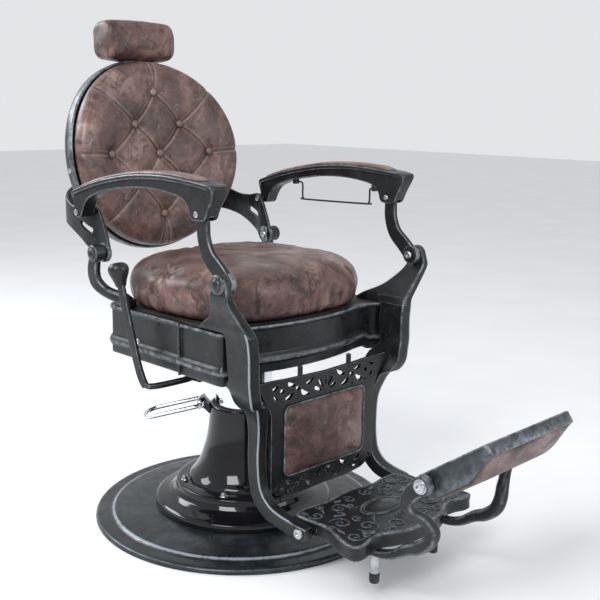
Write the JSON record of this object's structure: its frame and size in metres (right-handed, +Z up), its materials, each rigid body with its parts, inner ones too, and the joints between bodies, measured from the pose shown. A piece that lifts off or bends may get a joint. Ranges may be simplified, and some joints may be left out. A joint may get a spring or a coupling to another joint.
{
  "type": "hydraulic barber chair",
  "caption": "Reclining hydraulic barber chair with a round tufted back, deep cushion, linked cast arms, flip-up footrest and heavy round floor base.",
  "frame": {"origin": "centre of the round base's underside, on the floor", "axes": "+Z up, -Y out of the front of the chair (towards the footrest), +X to the occupant's left (the towel bar's side)"},
  "size_m": [0.69, 1.2353, 1.1367],
  "materials": {
    "iron_black": "satin black enamel on castings, rubbed bright along the edges",
    "gloss_black": "high gloss black",
    "chrome": "polished",
    "steel": "machined",
    "leather_brown": "distressed semi-gloss leather, mottled brown",
    "rubber": "matte black",
    "plywood": "plain board"
  },
  "bodies": {
    "base": {"base_plate": "iron_black", "pump_skirt": "gloss_black", "skirt_bolt_ring": "steel", "column_cover": "gloss_black", "pump_cylinder": "steel", "wiper_seal": "rubber", "pump_lever_bracket": "gloss_black", "pump_lever_pin": "steel"},
    "pump_lever": {"pump_lever": "chrome"},
    "lift": {"lift_piston": "chrome"},
    "seat": {"swivel_bearing": "steel", "seat_spider": "iron_black", "seat_apron": "iron_black", "seat_board": "plywood", "seat_cushion": "leather_brown", "front_leg_left": "iron_black", "front_leg_right": "iron_black", "rear_post_left": "iron_black", "rear_post_right": "iron_black", "calf_panel": "iron_black", "calf_pad": "leather_brown", "footplate": "iron_black", "footplate_bolt_left": "steel", "footplate_bolt_right": "steel", "foot_stub_left": "steel", "foot_stub_right": "steel", "foot_tip_left": "rubber", "foot_tip_right": "rubber", "paddle_arm_left": "iron_black", "paddle_arm_right": "iron_black", "paddle_bolt_left": "steel", "paddle_bolt_right": "steel", "recline_pivot_block": "iron_black", "front_knuckle_pin_left": "steel", "front_knuckle_pin_right": "steel", "rear_knuckle_pin_left": "steel", "rear_knuckle_pin_right": "steel"},
    "recline_lever": {"recline_lever": "iron_black", "recline_knob": "gloss_black"},
    "back": {"back_shell": "iron_black", "back_cushion": "leather_brown", "back_bracket_left": "iron_black", "back_bracket_right": "iron_black", "headrest_clamp": "iron_black", "headrest_knob": "gloss_black"},
    "headrest": {"headrest_cushion": "leather_brown", "headrest_bar": "chrome"},
    "arm_post_left": {"arm_post_left": "iron_black"},
    "arm_post_right": {"arm_post_right": "iron_black"},
    "armrest_left": {"armrest_left": "iron_black", "armrest_pad_left": "leather_brown", "arm_front_pin_left": "steel", "arm_rear_pin_left": "steel"},
    "armrest_right": {"armrest_right": "iron_black", "armrest_pad_right": "leather_brown", "arm_front_pin_right": "steel", "arm_rear_pin_right": "steel"},
    "paddle": {"paddle_tray": "iron_black", "paddle_pad": "leather_brown"},
    "towel_bar": {"towel_bar": "iron_black"}
  },
  "joints": [
    {"name": "seat_lift", "type": "slide", "parent": "base", "child": "lift", "axis": [0, 0, 1], "range_m": [0, 0.16]},
    {"name": "seat_swivel", "type": "hinge", "parent": "lift", "child": "seat", "pos_m": [0, 0, 0.39], "axis": [0, 0, 1], "continuous": true},
    {"name": "pump_lever_swing", "type": "hinge", "parent": "base", "child": "pump_lever", "pos_m": [-0.0693, 0.0693, 0.262], "axis": [0.7071, 0.7071, 0], "range_deg": [-12, 18]},
    {"name": "back_recline", "type": "hinge", "parent": "seat", "child": "back", "pos_m": [0, 0.19, 0.617], "axis": [-1, 0, 0], "range_deg": [0, 30]},
    {"name": "arm_post_left_swing", "type": "hinge", "parent": "seat", "child": "arm_post_left", "pos_m": [0.278, -0.261, 0.614], "axis": [-1, 0, 0], "range_deg": [-1, 24]},
    {"name": "arm_post_right_swing", "type": "hinge", "parent": "seat", "child": "arm_post_right", "pos_m": [-0.278, -0.261, 0.614], "axis": [-1, 0, 0], "range_deg": [-1, 24]},
    {"name": "armrest_left_swing", "type": "hinge", "parent": "arm_post_left", "child": "armrest_left", "pos_m": [0.28, -0.193, 0.739], "axis": [-1, 0, 0], "range_deg": [-25, 1]},
    {"name": "armrest_right_swing", "type": "hinge", "parent": "arm_post_right", "child": "armrest_right", "pos_m": [-0.28, -0.193, 0.739], "axis": [-1, 0, 0], "range_deg": [-25, 1]},
    {"name": "headrest_height", "type": "slide", "parent": "back", "child": "headrest", "axis": [0, 0.134, 0.991], "range_m": [0, 0.08]},
    {"name": "recline_release", "type": "hinge", "parent": "seat", "child": "recline_lever", "pos_m": [-0.14, -0.03, 0.362], "axis": [-1, 0, 0], "range_deg": [0, 10], "stiffness_Nm_per_rad": 4, "springref_deg": -14.32},
    {"name": "paddle_flip", "type": "hinge", "parent": "seat", "child": "paddle", "pos_m": [0, -0.652, 0.297], "axis": [-1, 0, 0], "range_deg": [0, 120]},
    {"name": "towel_bar_swing", "type": "hinge", "parent": "armrest_left", "child": "towel_bar", "pos_m": [0.274, 0, 0.7565], "axis": [0, 1, 0], "range_deg": [-10, 75]}
  ],
  "couplings": [
    {"joint": "arm_post_left_swing", "follows": "back_recline", "ratio": 0.71},
    {"joint": "arm_post_right_swing", "follows": "back_recline", "ratio": 0.71},
    {"joint": "armrest_left_swing", "follows": "back_recline", "ratio": -0.739},
    {"joint": "armrest_right_swing", "follows": "back_recline", "ratio": -0.739}
  ]
}
